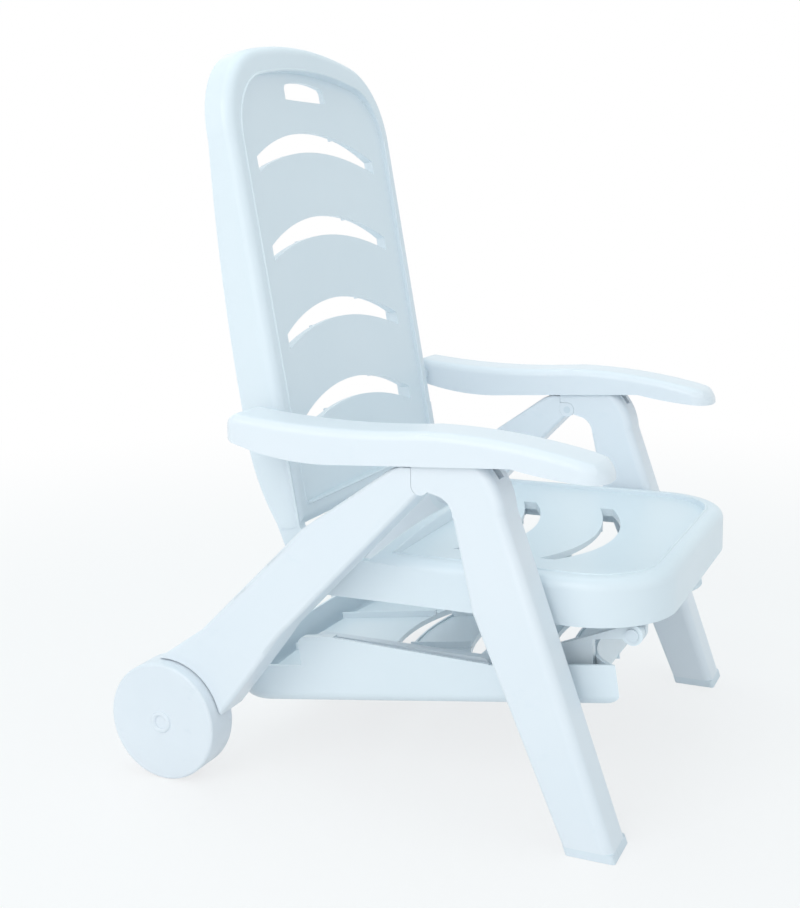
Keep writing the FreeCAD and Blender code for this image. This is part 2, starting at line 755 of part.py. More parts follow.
for name, side in sides.items():
    leg = new_body(f"front_leg_{name}")
    pad(leg, f"front_leg_block_{name}", side, leg_inner, leg_outer, front_leg_outline)
    fillet(leg, f"front_leg_nose_{name}", 12, faces_of_leg(
        lambda box: box.XMax > front_x(shoulder_z).value - 1 and box.ZMax > 300))
    fillet(leg, f"front_leg_back_{name}", 5, faces_of_leg(
        lambda box: box.ZMax < neck_z.value + 1 and box.ZMin > 5 and box.ZMax > 100))
    cut(leg, f"front_leg_cavity_{name}", side, leg_inner + d.leg_wall, leg_outer - d.leg_wall,
        front_leg_cavity)
    cut(leg, f"front_leg_lap_{name}", side, leg_inner - 1, leg_middle + d.running_gap / 2, knuckle_lap)
    cut(leg, f"front_leg_fork_{name}", side, leg_middle - fork_half, leg_middle + fork_half,
        box_path(seam_x - 5, stop_pin_z - 22, stop_pin_x + 60, stop_pin_z + 30))
    cut(leg, f"stop_pin_bore_{name}", side, leg_inner - 1, leg_outer - 6, stop_pin)
    cut(leg, f"knuckle_pin_bore_{name}", side, leg_inner - 1, leg_outer - 6, knuckle_pin_free)
    pad(leg, f"seat_support_{name}", side, seat_half - d.shell_wall, leg_inner + 2, support)
    finish(leg)

    leg = new_body(f"rear_leg_{name}")
    pad(leg, f"rear_leg_block_{name}", side, leg_inner, leg_outer, rear_leg_outline)
    fillet(leg, f"rear_leg_round_{name}", 6, faces_of_leg(
        lambda box: box.XMin < near(-30, 0).knuckle[0].value and box.ZMax < near(0, 20).knuckle[1].value
        and not (box.XMax < near(88, 0).wheel[0].value and box.ZMax < near(0, 86).wheel[1].value)))
    cut(leg, f"rear_leg_cavity_{name}", side, leg_inner + d.leg_wall, leg_outer - d.leg_wall,
        rear_leg_cavity)
    pad(leg, f"knuckle_disc_{name}", side, leg_inner + d.running_gap, leg_middle - d.running_gap / 2, knuckle_disc)
    cut(leg, f"rear_leg_lap_{name}", side, leg_middle - d.running_gap / 2, leg_outer + 1,
        ("circle", knuckle_x, knuckle_z, lap))
    cut(leg, f"rear_leg_fork_{name}", side, leg_middle - fork_half, leg_middle + fork_half,
        box_path(knuckle_x - 70, stop_pin_z - 24, seam_x + 5, stop_pin_z))
    pad(leg, f"axle_cheek_{name}", side, leg_inner, leg_inner + 10, axle_cheek)
    pad(leg, f"axle_boss_{name}", side, leg_inner + 2, wheel_inner - 1,
        ("circle", wheel_x, wheel_z, d.axle_radius + 11))
    pad(leg, f"main_pivot_boss_{name}", side, seat_half + d.running_gap, leg_outer - d.leg_wall / 2,
        ("circle", hinge_x, d.hinge_z, as_size(18)))
    cut(leg, f"main_pivot_bore_{name}", side, seat_half - 1, leg_outer - 10, main_pin_free)
    cut(leg, f"axle_bore_{name}", side, leg_inner - 1, wheel_inner + 1,
        ("circle", wheel_x, wheel_z, d.axle_radius))
    cut(leg, f"knuckle_pin_seat_{name}", side, leg_inner - 1, leg_middle + 1, knuckle_pin)
    finish(leg)

    cap = new_body(f"front_foot_cap_{name}")
    pad(cap, f"foot_pad_{name}", side, leg_inner, leg_outer, [
        (front_x(zero), zero),
        (front_x(d.foot_cap), d.foot_cap),
        (front_x(d.foot_cap) - d.foot_width, d.foot_cap),
        (front_x(zero) - d.foot_width, zero)])
    plug_top = d.foot_cap + 22
    fillet(cap, f"foot_pad_round_{name}", 4, lambda e: abs(e.Curve.Direction.z) > 0.5)
    pad(cap, f"foot_plug_{name}", side, leg_inner + d.leg_wall + 0.1, leg_outer - d.leg_wall - 0.1, [
        (front_x(d.foot_cap - 2) - inset_x - 0.1, d.foot_cap - 2),
        (front_x(plug_top) - inset_x - 0.1, plug_top),
        (front_x(plug_top) - d.foot_width - plug_top * 0.05 + inset_x + 3, plug_top),
        (front_x(d.foot_cap - 2) - d.foot_width + inset_x + 3, d.foot_cap - 2)])
    finish(cap)

    arm = new_body(f"armrest_{name}")
    rear_x = arm_pivot_x - 18
    crown_x = stop_pin_x - 29
    arm_low = d.arm_top_z - 55
    pad(arm, f"armrest_block_{name}", side, arm_inner, arm_outer, [
        (rear_x, d.arm_top_z - 34),
        (rear_x, d.arm_top_z - 19),
        arc(rear_x + 5, d.arm_top_z - 7, rear_x + 17, d.arm_top_z - 2),
        arc(crown_x - 120, d.arm_top_z - 12, crown_x - 10, d.arm_top_z - 8),
        arc(crown_x + 90, d.arm_top_z - 14, arm_front_x - 14, d.arm_top_z - 33),
        arc(arm_front_x - 4, d.arm_top_z - 41, arm_front_x, arm_low - 1),
        arc(arm_front_x - 58, arm_low + 3, arm_front_x - 110, arm_low + 11.5),
        arc(arm_front_x - 260, arm_low + 3.5, arm_front_x - 325, arm_low),
        arc(arm_front_x - 434, arm_low + 6, rear_x, d.arm_top_z - 34)])
    skirts = [s * y.value for s in (-1, 1) for y in (arm_inner, arm_outer)]
    fillet(arm, f"armrest_round_{name}", 12, across(
        skirts, lambda box: box.ZMax > d.arm_top_z.value - 28))
    lid = d.arm_top_z - d.arm_wall * 1.1
    low_z = d.arm_top_z - 80
    inside_rear = rear_x + d.arm_wall
    inside_front = arm_front_x - d.arm_wall - 1
    cut(arm, f"armrest_channel_{name}", side, arm_inner + d.arm_wall, arm_outer - d.arm_wall, [
        (inside_rear, low_z),
        (inside_rear, lid - 19),
        (inside_rear + 14, lid - 3),
        arc(crown_x - 120, lid - 12, crown_x - 10, lid - 8),
        arc(crown_x + 88, lid - 14, arm_front_x - 18, lid - 33),
        (inside_front, arm_low + 6),
        (inside_front, low_z)])
    pad(arm, f"armrest_boss_{name}", side, arm_inner + 1, arm_inner + 26,
        ("circle", arm_pivot_x, arm_pivot_z, as_size(12)))
    cut(arm, f"armrest_bore_{name}", side, arm_inner - 1, arm_inner + 22,
        ("circle", arm_pivot_x, arm_pivot_z, d.arm_pin_radius + d.pin_clearance))
    rack_end = stop_pin_x + 140
    pad(arm, f"rack_{name}", side, leg_middle - rack_half, leg_middle + rack_half, [
        (stop_pin_x - 9, rack_crest),
        (rack_end, rack_crest),
        (rack_end, d.arm_top_z - 30),
        (crown_x + 121, d.arm_top_z - 21.5),
        (crown_x + 66, d.arm_top_z - 14),
        (stop_pin_x - 9, d.arm_top_z - 11)])
    notches = [("circle", stop_pin_x + along, rack_crest, d.arm_pin_radius + 0.5)
               for along in (0, 32.3, 62.9, 91.3, 117.2)]
    cut(arm, f"rack_notches_{name}", side, leg_middle - rack_half - 1, leg_middle + rack_half + 1, *notches)
    finish(arm)

    wheel = new_body(f"wheel_{name}")
    rim = ("circle", wheel_x, wheel_z, d.wheel_radius)
    pad(wheel, f"wheel_block_{name}", side, wheel_inner, wheel_outer, rim)
    fillet(wheel, f"wheel_round_{name}", 4, lambda e: e.Length > 100)
    cut(wheel, f"wheel_hollow_{name}", side, wheel_inner - 1, wheel_outer - 5,
        ("circle", wheel_x, wheel_z, d.wheel_radius - 5), ("circle", wheel_x, wheel_z, d.axle_radius + 7))
    for spoke in range(6):
        angle = as_size(60 * spoke + 30)
        start, end = d.axle_radius + 5, d.wheel_radius - 3
        along, beside = (cosine(angle), sine(angle)), (sine(angle) * -2, cosine(angle) * 2)
        path = [(wheel_x + along[0] * r + beside[0] * s, wheel_z + along[1] * r + beside[1] * s)
                for r, s in ((start, -1), (end, -1), (end, 1), (start, 1))]
        pad(wheel, f"wheel_rib_{name}_{spoke}", side, wheel_inner + 8, wheel_outer - 3, path)
    pad(wheel, f"wheel_ring_{name}", side, wheel_outer - 1, wheel_outer + 2,
        ("circle", wheel_x, wheel_z, as_size(14)), ("circle", wheel_x, wheel_z, as_size(9)))
    cut(wheel, f"wheel_bore_{name}", side, wheel_inner - 1, wheel_outer - 10,
        ("circle", wheel_x, wheel_z, d.axle_radius + d.pin_clearance))
    cut(wheel, f"wheel_snap_groove_{name}", side, wheel_outer - 16, wheel_outer - 10,
        ("circle", wheel_x, wheel_z, d.axle_radius + 1.2))
    finish(wheel)


def pin(label, side, *steps):
    """A turned pin: each step is an inner and outer distance, and a circle."""
    body = new_body(label)
    for number, (inner, outer, ring) in enumerate(steps):
        pad(body, f"{label}_step_{number}", side, inner, outer, ring)
    finish(body)
    return body


for name, side in sides.items():
    axle = ("circle", wheel_x, wheel_z, d.axle_radius)
    pin(f"wheel_axle_{name}", side,
        (leg_inner - 5, leg_inner, ("circle", wheel_x, wheel_z, d.axle_radius + 5)),
        (leg_inner - 1, wheel_outer - 12, axle),
        (wheel_outer - 15, wheel_outer - 12, ("circle", wheel_x, wheel_z, d.axle_radius + 1)))
    pin(f"main_pivot_pin_{name}", side,
        (ear_inner - 5, ear_inner, ("circle", hinge_x, d.hinge_z, d.hinge_pin_radius + 5)),
        (ear_inner - 1, leg_outer - 11, main_pin))
    pin(f"knuckle_pin_{name}", side, (leg_inner + 0.5, leg_outer - 7, knuckle_pin))
    pin(f"stop_pin_{name}", side, (leg_inner + 0.5, leg_outer - 6.5, stop_pin))
    arm_pin = ("circle", arm_pivot_x, arm_pivot_z, d.arm_pin_radius)
    pin(f"arm_pivot_pin_{name}", side,
        (ear_inner - 4, ear_inner, ("circle", arm_pivot_x, arm_pivot_z, d.arm_pin_radius + 4)),
        (ear_inner - 1, arm_inner + 21, arm_pin))
    pin(f"arm_spacer_{name}", side,
        (back_half, arm_inner - d.running_gap, ("circle", arm_pivot_x, arm_pivot_z, as_size(11))))
    spacer = nodes[-1]
    cut(spacer, f"arm_spacer_bore_{name}", side, back_half - 1, arm_inner + 1, arm_pin)
    rest_pin = ("circle", leg_rest_x, d.leg_rest_z, d.leg_rest_pin_radius)
    pin(f"leg_rest_pin_{name}", side,
        (bracket_inner - 4, bracket_inner,
         ("circle", leg_rest_x, d.leg_rest_z, d.leg_rest_pin_radius + 4)),
        (bracket_inner - 1, lug_outer + 3, rest_pin),
        (lug_outer + 0.5, lug_outer + 3,
         ("circle", leg_rest_x, d.leg_rest_z, d.leg_rest_pin_radius + 1)))

prop_x = leg_rest_x + prop_along * cosine(d.leg_rest_turn)
prop_z = d.leg_rest_z - prop_along * sine(d.leg_rest_turn)
prop_lean = 0
bar_radius = 11
prop_length = d.leg_rest_z - d.running_gap
bar_reach = prop_length - bar_radius
for name, side in sides.items():
    arm = new_body(f"leg_rest_prop_{name}")
    pad(arm, f"prop_arm_{name}", side, prop_inner, prop_outer, [
        polar(zero, zero, prop_eye, 90),
        corner(zero, zero, prop_eye, 90, 270),
        polar(bar_reach, zero, as_size(bar_radius), 270),
        corner(bar_reach, zero, as_size(bar_radius), 270, 450)])
    cut(arm, f"prop_eye_{name}", side, prop_inner - 1, prop_outer + 1,
        ("circle", zero, zero, d.prop_pin_radius + d.pin_clearance))
    cut(arm, f"prop_socket_{name}", side, prop_inner - 1, prop_outer - 3,
        ("circle", bar_reach, zero, as_size(bar_radius - 4)))
    place(arm, prop_x, prop_z, prop_lean)
    finish(arm)
    pin(f"prop_pin_{name}", side,
        (prop_inner - 4, prop_inner, ("circle", zero, zero, d.prop_pin_radius + 4)),
        (prop_inner - 1, rest_half - 3, ("circle", zero, zero, d.prop_pin_radius)))
    place(nodes[-1], prop_x, prop_z, prop_lean)

bar = new_body("prop_foot_bar")
pad(bar, "bar_tube", 1, -prop_inner, prop_inner, ("circle", bar_reach, zero, as_size(bar_radius)))
for name, side in sides.items():
    pad(bar, f"bar_spigot_{name}", side, prop_inner - 1, prop_outer - 3,
        ("circle", bar_reach, zero, as_size(bar_radius - 4)))
place(bar, prop_x, prop_z, prop_lean)
finish(bar)

doc.recompute()
faulty = [thing.Name for thing in doc.Objects if {"Invalid", "Error"} & set(thing.State)]
for body in nodes:
    if body.Shape.isNull() or not body.Shape.isValid() or len(body.Shape.Solids) != 1:
        faulty.append(body.Label)
if faulty:
    raise RuntimeError("not built: " + ", ".join(faulty))
os.makedirs("parts", exist_ok=True)
for body in nodes:
    body.Shape.exportStep("parts/" + body.Label + ".step")
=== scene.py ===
import math

import bpy
from mathutils import Matrix, Vector


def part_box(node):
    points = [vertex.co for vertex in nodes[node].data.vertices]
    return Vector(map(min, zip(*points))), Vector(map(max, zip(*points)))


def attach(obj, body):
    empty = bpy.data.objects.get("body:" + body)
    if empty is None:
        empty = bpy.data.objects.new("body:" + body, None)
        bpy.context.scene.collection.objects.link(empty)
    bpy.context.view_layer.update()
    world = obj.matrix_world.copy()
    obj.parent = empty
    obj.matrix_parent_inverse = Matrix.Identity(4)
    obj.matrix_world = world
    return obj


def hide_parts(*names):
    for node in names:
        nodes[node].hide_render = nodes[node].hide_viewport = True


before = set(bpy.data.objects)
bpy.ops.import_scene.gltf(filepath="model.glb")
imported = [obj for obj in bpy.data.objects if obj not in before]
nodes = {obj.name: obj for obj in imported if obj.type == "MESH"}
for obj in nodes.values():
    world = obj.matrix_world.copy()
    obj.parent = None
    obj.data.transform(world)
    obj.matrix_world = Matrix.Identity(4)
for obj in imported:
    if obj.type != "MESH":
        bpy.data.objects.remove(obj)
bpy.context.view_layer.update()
print("frame loaded with", len(nodes), "nodes")

mixSockets = {"first": 6, "second": 7, "result": 2}     # the colour sockets of a Mix node


def selectOnly(item):
    bpy.ops.object.select_all(action="DESELECT")
    item.select_set(True)
    bpy.context.view_layer.objects.active = item


def nodeGroup(name, inputs, outputs):
    tree = bpy.data.node_groups.new(name, "ShaderNodeTree")
    for label, kind, value in inputs:
        socket = tree.interface.new_socket(name=label, in_out="INPUT", socket_type=kind)
        socket.default_value = value
    for label, kind in outputs:
        tree.interface.new_socket(name=label, in_out="OUTPUT", socket_type=kind)
    return tree, tree.nodes.new("NodeGroupInput"), tree.nodes.new("NodeGroupOutput")


def addNode(tree, kind, **settings):
    # a setting is a property of the node, or the value of its input of that name
    node = tree.nodes.new(kind)
    for key, value in settings.items():
        if key in node.bl_rna.properties:
            setattr(node, key, value)
        else:
            node.inputs[key.replace("_", " ")].default_value = value
    return node


skinMarks = {
    "flowScale": 5.0,
    "flowEdge": (0.35, 0.70),
    "flowShare": 0.22,                      # of the tint, where the plastic flowed
    "scuffStretch": (18.0, 70.0, 26.0),
    "scuffTurn": (0.4, 0.2, 0.9),
    "scuffEdge": (0.60, 0.78),
    "markRoughness": 0.25,                  # added where the marks are full
}


def makeMouldedSkin():
    # fine spark-eroded grain, slow flow marks and light handling marks of a moulded part
    tree, start, end = nodeGroup(
        "mouldedSkin",
        [
            ("Colour", "NodeSocketColor", (0.8, 0.8, 0.8, 1.0)),
            ("Tint", "NodeSocketColor", (0.7, 0.7, 0.7, 1.0)),
            ("Grain Size", "NodeSocketFloat", 900.0),
            ("Marks", "NodeSocketFloat", 0.3),
            ("Roughness", "NodeSocketFloat", 0.4),
        ],
        [("Colour", "NodeSocketColor"), ("Roughness", "NodeSocketFloat"), ("Height", "NodeSocketFloat")],
    )
    link = tree.links.new
    place = addNode(tree, "ShaderNodeTexCoord")
    flow = addNode(tree, "ShaderNodeTexNoise", Scale=skinMarks["flowScale"], Detail=3.0, Roughness=0.55)
    link(place.outputs["Object"], flow.inputs["Vector"])
    grain = addNode(tree, "ShaderNodeTexNoise", Detail=2.0, Roughness=0.6)
    link(place.outputs["Object"], grain.inputs["Vector"])
    link(start.outputs["Grain Size"], grain.inputs["Scale"])
    stretch = addNode(tree, "ShaderNodeMapping", Scale=skinMarks["scuffStretch"], Rotation=skinMarks["scuffTurn"])
    link(place.outputs["Object"], stretch.inputs["Vector"])
    scuffs = addNode(tree, "ShaderNodeTexNoise", Scale=1.0, Detail=5.0, Roughness=0.72)
    link(stretch.outputs["Vector"], scuffs.inputs["Vector"])
    low, high = skinMarks["scuffEdge"]
    scuffEdge = addNode(tree, "ShaderNodeMapRange", From_Min=low, From_Max=high)
    link(scuffs.outputs["Fac"], scuffEdge.inputs["Value"])
    scuffAmount = addNode(tree, "ShaderNodeMath", operation="MULTIPLY")
    link(scuffEdge.outputs["Result"], scuffAmount.inputs[0])
    link(start.outputs["Marks"], scuffAmount.inputs[1])
    low, high = skinMarks["flowEdge"]
    flowEdge = addNode(tree, "ShaderNodeMapRange", From_Min=low, From_Max=high)
    link(flow.outputs["Fac"], flowEdge.inputs["Value"])
    flowAmount = addNode(tree, "ShaderNodeMath", operation="MULTIPLY")
    flowAmount.inputs[1].default_value = skinMarks["flowShare"]
    link(flowEdge.outputs["Result"], flowAmount.inputs[0])
    share = addNode(tree, "ShaderNodeMath", operation="ADD", use_clamp=True)
    link(flowAmount.outputs[0], share.inputs[0])
    link(scuffAmount.outputs[0], share.inputs[1])
    colour = addNode(tree, "ShaderNodeMix", data_type="RGBA")
    link(share.outputs[0], colour.inputs["Factor"])
    link(start.outputs["Colour"], colour.inputs[mixSockets["first"]])
    link(start.outputs["Tint"], colour.inputs[mixSockets["second"]])
    link(colour.outputs[mixSockets["result"]], end.inputs["Colour"])
    rough = addNode(tree, "ShaderNodeMath", operation="MULTIPLY_ADD")
    rough.inputs[1].default_value = skinMarks["markRoughness"]
    link(share.outputs[0], rough.inputs[0])
    link(start.outputs["Roughness"], rough.inputs[2])
    link(rough.outputs[0], end.inputs["Roughness"])
    link(grain.outputs["Fac"], end.inputs["Height"])
    return tree


mouldedSkin = makeMouldedSkin()

finishes = {
    "shellPlastic": dict(colour=(0.80, 0.87, 0.92), tint=(0.72, 0.81, 0.87), grain=1400.0,
                         marks=0.22, roughness=0.36, bump=0.05, coat=0.12),
    "legPlastic": dict(colour=(0.835, 0.88, 0.93), tint=(0.73, 0.81, 0.88), grain=1100.0,
                       marks=0.30, roughness=0.34, bump=0.05, coat=0.15),
    "wheelPlastic": dict(colour=(0.83, 0.87, 0.92), tint=(0.69, 0.76, 0.82), grain=900.0,
                         marks=0.45, roughness=0.42, bump=0.08, coat=0.05),
    "pinPlastic": dict(colour=(0.74, 0.81, 0.87), tint=(0.62, 0.70, 0.77), grain=1600.0,
                       marks=0.20, roughness=0.30, bump=0.03, coat=0.10),
    "footPlastic": dict(colour=(0.78, 0.85, 0.91), tint=(0.58, 0.63, 0.68), grain=700.0,
                        marks=0.60, roughness=0.50, bump=0.12, coat=0.0),
}

allPlastics = {"refraction": 1.49, "coatRoughness": 0.2, "grainDepth": 0.0004}

nodeFinish = {
    # a node that is not named here is a pin, an axle, a bush or a bar of the prop
    "backrest_shell": "shellPlastic",
    "seat_shell": "shellPlastic",
    "leg_rest_shell": "shellPlastic",
    "front_leg": "legPlastic",
    "rear_leg": "legPlastic",
    "armrest": "legPlastic",
    "wheel": "wheelPlastic",
    "front_foot_cap": "footPlastic",
}


def plastic(name, look):
    material = bpy.data.materials.new(name)
    material.use_nodes = True
    tree = material.node_tree
    shader = tree.nodes["Principled BSDF"]
    skin = addNode(tree, "ShaderNodeGroup", node_tree=mouldedSkin)
    skin.inputs["Colour"].default_value = (*look["colour"], 1.0)
    skin.inputs["Tint"].default_value = (*look["tint"], 1.0)
    skin.inputs["Grain Size"].default_value = look["grain"]
    skin.inputs["Marks"].default_value = look["marks"]
    skin.inputs["Roughness"].default_value = look["roughness"]
    bump = addNode(tree, "ShaderNodeBump", Strength=look["bump"], Distance=allPlastics["grainDepth"])
    tree.links.new(skin.outputs["Colour"], shader.inputs["Base Color"])
    tree.links.new(skin.outputs["Roughness"], shader.inputs["Roughness"])
    tree.links.new(skin.outputs["Height"], bump.inputs["Height"])
    tree.links.new(bump.outputs["Normal"], shader.inputs["Normal"])
    shader.inputs["IOR"].default_value = allPlastics["refraction"]
    shader.inputs["Coat Weight"].default_value = look["coat"]
    shader.inputs["Coat Roughness"].default_value = allPlastics["coatRoughness"]
    return material


plastics = {name: plastic(name, look) for name, look in finishes.items()}


def finishFor(name):
    base = name.replace("_left", "").replace("_right", "")
    return plastics[nodeFinish.get(base, "pinPlastic")]


for name, item in nodes.items():
    item.data.materials.clear()
    item.data.materials.append(finishFor(name))
print("plastics on", len(nodes), "nodes")

backPanel = {
    "halfWidth": 0.236,
    "rim": 0.027,
    "corner": 0.116,
    "crownLean": 11.0,       # degrees, where the corner goes over to the crown
    "top": -0.694,           # along the back from the hinge, up is minus
    "foot": -0.057,
    "footTurn": 0.010,       # radius of the bead's lower corners
    "turnSteps": 5,
    "sideSteps": 24,
    "footSteps": 12,
    "hinge": (-0.105, 0.278),
    "tilt": 9.4,             # degrees behind upright
}

seatPanel = {
    "halfWidth": 0.246,
    "rim": 0.026,
    "corner": 0.105,
    "front": 0.357,
    "rear": -0.013,
    "rearBow": 0.018,
    "height": 0.310,
    "frontSteps": 6,
    "sideSteps": 10,
    "rearSteps": 8,
}

dishBead = {
    "radius": 0.0020,
    "roundSteps": 3,
    "sink": 0.0005,          # the middle of the bead lies this far under the rim
    "ahead": 0.0019,         # and this far outside its inner edge
    "cornerSteps": 14,
}


def arcPoints(centre, radius, start, end, steps):
    angles = [math.radians(start + (end - start) * n / steps) for n in range(steps + 1)]
    return [(centre[0] + radius * math.cos(a), centre[1] + radius * math.sin(a)) for a in angles]


def backBeadPath(inset):
    # once round the back as (along, across), from a lower corner over the crown
    panel, steps = backPanel, dishBead["cornerSteps"]
    lean = panel["crownLean"]
    slope, rise = math.cos(math.radians(lean)), math.sin(math.radians(lean))
    half, radius = panel["halfWidth"] - inset, panel["corner"] - inset
    hubY = panel["halfWidth"] - panel["corner"]
    crown = (hubY + panel["corner"] * rise) / rise
    hubX = panel["top"] + crown - (crown - panel["corner"]) * slope
    foot, turn = panel["foot"] - inset, panel["footTurn"]
    sideSteps, footSteps = panel["sideSteps"], panel["footSteps"]
    path = arcPoints((foot - turn, half - turn), turn, 0.0, 90.0, panel["turnSteps"])
    path += [(foot - turn - (foot - turn - hubX) * n / sideSteps, half) for n in range(1, sideSteps)]
    path += arcPoints((hubX, hubY), radius, 90.0, 180.0 - lean, steps)
    path += arcPoints((panel["top"] + crown, 0.0), crown - inset, 180.0 - lean, 180.0, steps)[1:]
    path += [(along, -across) for along, across in reversed(path[:-1])]
    return path + [(foot, (half - turn) * (2.0 * n / footSteps - 1.0)) for n in range(1, footSteps)]


def seatBeadPath(inset):
    # once round the seat as (along, across), from the middle of its front
    panel = seatPanel
    half, radius = panel["halfWidth"] - inset, panel["corner"] - inset
    hubX, hubY = panel["front"] - panel["corner"], panel["halfWidth"] - panel["corner"]
    rear = panel["rear"] + inset
    bow = (half ** 2 + panel["rearBow"] ** 2) / (2.0 * panel["rearBow"])
    frontSteps, sideSteps, rearSteps = panel["frontSteps"], panel["sideSteps"], panel["rearSteps"]
    path = [(hubX + radius, hubY * n / frontSteps) for n in range(frontSteps)]
    path += arcPoints((hubX, hubY), radius, 0.0, 90.0, dishBead["cornerSteps"])
    path += [(hubX + (rear - hubX) * n / sideSteps, half) for n in range(1, sideSteps + 1)]
    for n in reversed(range(rearSteps)):
        across = half * n / rearSteps
        path.append((rear - panel["rearBow"] + bow - math.sqrt(bow ** 2 - across ** 2), across))
    return path + [(along, -across) for along, across in reversed(path[1:-1])]


def makeBead(name, points, body):
    curve = bpy.data.curves.new(name, "CURVE")
    curve.dimensions = "3D"
    curve.bevel_depth = dishBead["radius"]
    curve.bevel_resolution = dishBead["roundSteps"]
    spline = curve.splines.new("POLY")
    spline.points.add(len(points) - 1)
    for knot, place in zip(spline.points, points):
        knot.co = (*place, 1.0)
    spline.use_cyclic_u = True
    bead = bpy.data.objects.new(name, curve)
    bpy.context.collection.objects.link(bead)
    selectOnly(bead)
    bpy.ops.object.convert(target="MESH")
    bpy.ops.object.shade_smooth()
    bead = bpy.context.object
    bead.data.materials.append(plastics["shellPlastic"])
    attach(bead, body)


def makeDishBeads():
    # fine raised line along the inner edge of the rim, on the back and the seat
    sink = dishBead["sink"]
    lean = math.radians(90.0 - backPanel["tilt"])
    hingeX, hingeZ = backPanel["hinge"]
    backLine = [
        (hingeX + along * math.cos(lean) - sink * math.sin(lean), across,
         hingeZ - along * math.sin(lean) - sink * math.cos(lean))
        for along, across in backBeadPath(backPanel["rim"] - dishBead["ahead"])
    ]
    seatLine = [
        (along, across, seatPanel["height"] - sink)
        for along, across in seatBeadPath(seatPanel["rim"] - dishBead["ahead"])
    ]
    makeBead("backDishBead", backLine, "backrest")
    makeBead("seatDishBead", seatLine, "seat")


makeDishBeads()
print("dish beads made")

hubRing = {
    "radius": 0.0115,
    "tube": 0.0032,
    "tubeSteps": 14,
    "centre": (-0.278, 0.079),
    "face": 0.333,           # from the middle of the chair to the middle of the tube
    "steps": 64,
    "merge": 0.00002,
}


def makeHubRing(name, side, body):
    place = (hubRing["centre"][0], side * hubRing["face"], hubRing["centre"][1])
    bpy.ops.object.select_all(action="DESELECT")
    bpy.ops.mesh.primitive_circle_add(vertices=hubRing["tubeSteps"], radius=hubRing["tube"],
                                      location=(place[0] + hubRing["radius"], place[1], place[2]))
    ring = bpy.context.object
    ring.name = name
    bpy.ops.object.transform_apply(location=True)
    bpy.ops.object.mode_set(mode="EDIT")
    bpy.ops.mesh.select_all(action="SELECT")
    bpy.ops.mesh.spin(steps=hubRing["steps"], angle=2.0 * math.pi, center=place, axis=(0.0, 1.0, 0.0))
    bpy.ops.mesh.select_all(action="SELECT")
    bpy.ops.mesh.remove_doubles(threshold=hubRing["merge"])
    bpy.ops.mesh.normals_make_consistent(inside=False)
    bpy.ops.object.mode_set(mode="OBJECT")
    bpy.ops.object.shade_smooth()
    ring.data.materials.append(plastics["wheelPlastic"])
    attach(ring, body)


makeHubRing("hubRing_left", 1.0, "wheel_left")
makeHubRing("hubRing_right", -1.0, "wheel_right")
print("hub rings made")

armEnds = {
    "front": 0.030,          # radius of the ends seen from above, metres
    "rear": 0.0118,          # stops short of the pivot bore
    "cuts": 8,
    "margin": 0.001,         # cut faces reach this far past the rounding
    "skip": 0.0001,
    "merge": 0.00001,
    "crease": 28.0,          # degrees, sharper edges stay sharp
}


def mergedCopy(name, pieceName):
    piece = nodes[name].copy()
    piece.data = nodes[name].data.copy()
    piece.name = pieceName
    bpy.context.collection.objects.link(piece)
    selectOnly(piece)
    bpy.ops.object.mode_set(mode="EDIT")
    bpy.ops.mesh.select_all(action="SELECT")
    bpy.ops.mesh.remove_doubles(threshold=armEnds["merge"])
    bpy.ops.object.mode_set(mode="OBJECT")
    return piece


def sliceEnd(piece, start, outward, planes):
    # cuts the faces beyond start with planes, so that the end has points to round
    for place, direction in planes:
        points = piece.data.vertices
        for face in piece.data.polygons:
            face.select = any((points[n].co.x - start) * outward > armEnds["skip"] for n in face.vertices)
        bpy.ops.object.mode_set(mode="EDIT")
        bpy.ops.mesh.bisect(plane_co=place, plane_no=direction)
        bpy.ops.object.mode_set(mode="OBJECT")


def roundCorner(point, end, outward, middle, half, radius):
    # moves the square corner of an end, seen from above, onto a quarter circle
    ahead = min(1.0, ((point.x - end) * outward + radius) / radius)
    beside = min(1.0, (abs(point.y - middle) - half + radius) / radius)
    if ahead <= 0.0 or beside <= 0.0:
        return
    side = 1.0 if point.y > middle else -1.0
    point.x = end - outward * radius * (1.0 - ahead * math.sqrt(1.0 - beside ** 2 / 2.0))
    point.y = middle + side * (half - radius * (1.0 - beside * math.sqrt(1.0 - ahead ** 2 / 2.0)))


def makeArmrest(name, pieceName):
    low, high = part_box(name)
    middle, half = (low[1] + high[1]) / 2.0, (high[1] - low[1]) / 2.0
    arm = mergedCopy(name, pieceName)
    cuts = armEnds["cuts"]
    for end, outward, radius in ((high[0], 1.0, armEnds["front"]), (low[0], -1.0, armEnds["rear"])):
        steps = [radius * math.tan(math.radians(45.0 * n / cuts)) for n in range(cuts)]
        start = end - outward * radius
        crossCuts = [((start + outward * step, 0.0, 0.0), (1.0, 0.0, 0.0)) for step in steps]
        longCuts = [((0.0, middle + side * (half - radius + step), 0.0), (0.0, 1.0, 0.0))
                    for step in steps for side in (-1.0, 1.0)]
        sliceEnd(arm, start - outward * armEnds["margin"], outward, crossCuts)
        sliceEnd(arm, start, outward, longCuts)
        for vertex in arm.data.vertices:
            roundCorner(vertex.co, end, outward, middle, half, radius)
    selectOnly(arm)
    bpy.ops.mesh.customdata_custom_splitnormals_clear()
    bpy.ops.object.shade_smooth_by_angle(angle=math.radians(armEnds["crease"]))
    weigh = arm.modifiers.new("evenShade", "WEIGHTED_NORMAL")
    weigh.keep_sharp = True
    bpy.ops.object.modifier_apply(modifier=weigh.name)
    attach(arm, name)       # the armrest's body has the node's name
    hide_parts(name)
    print(pieceName, "has", len(arm.data.polygons), "faces")


makeArmrest("armrest_left", "armrestMoulding_left")
makeArmrest("armrest_right", "armrestMoulding_right")


